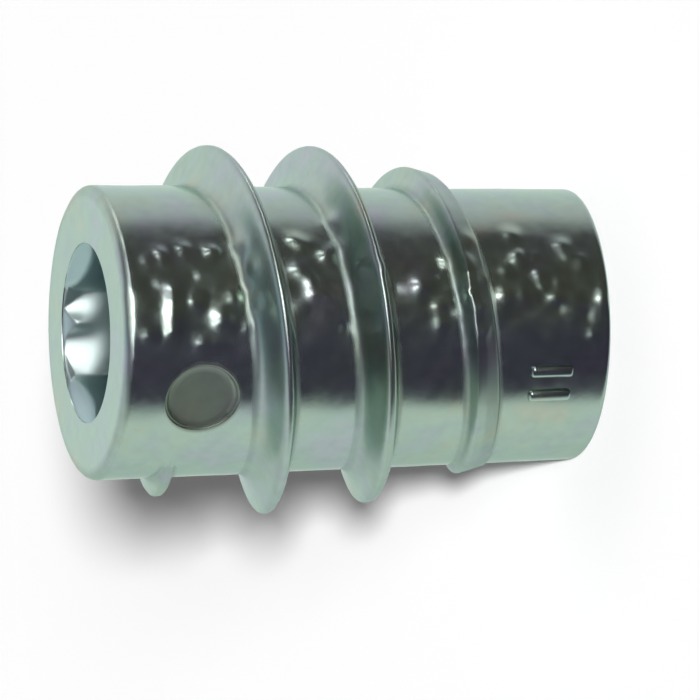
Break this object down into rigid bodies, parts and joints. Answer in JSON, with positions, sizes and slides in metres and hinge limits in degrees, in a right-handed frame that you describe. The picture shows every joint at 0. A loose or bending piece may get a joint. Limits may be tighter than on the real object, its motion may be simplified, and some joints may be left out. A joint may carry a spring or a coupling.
{
  "type": "threaded insert",
  "caption": "Hex-drive threaded insert for wood: tapered zinc die-cast body with a coarse right-handed outer thread and a screw bore right through.",
  "frame": {"origin": "on the axis at the tip face, which it stands on", "axes": "+Z along the axis towards the drive end, with two corners of the hex socket on the X axis"},
  "size_m": [0.0099, 0.01, 0.0136],
  "materials": {
    "zinc_plate": "bright zinc plate on a die casting"
  },
  "bodies": {
    "root": {"threaded_insert": "zinc_plate"}
  },
  "joints": []
}
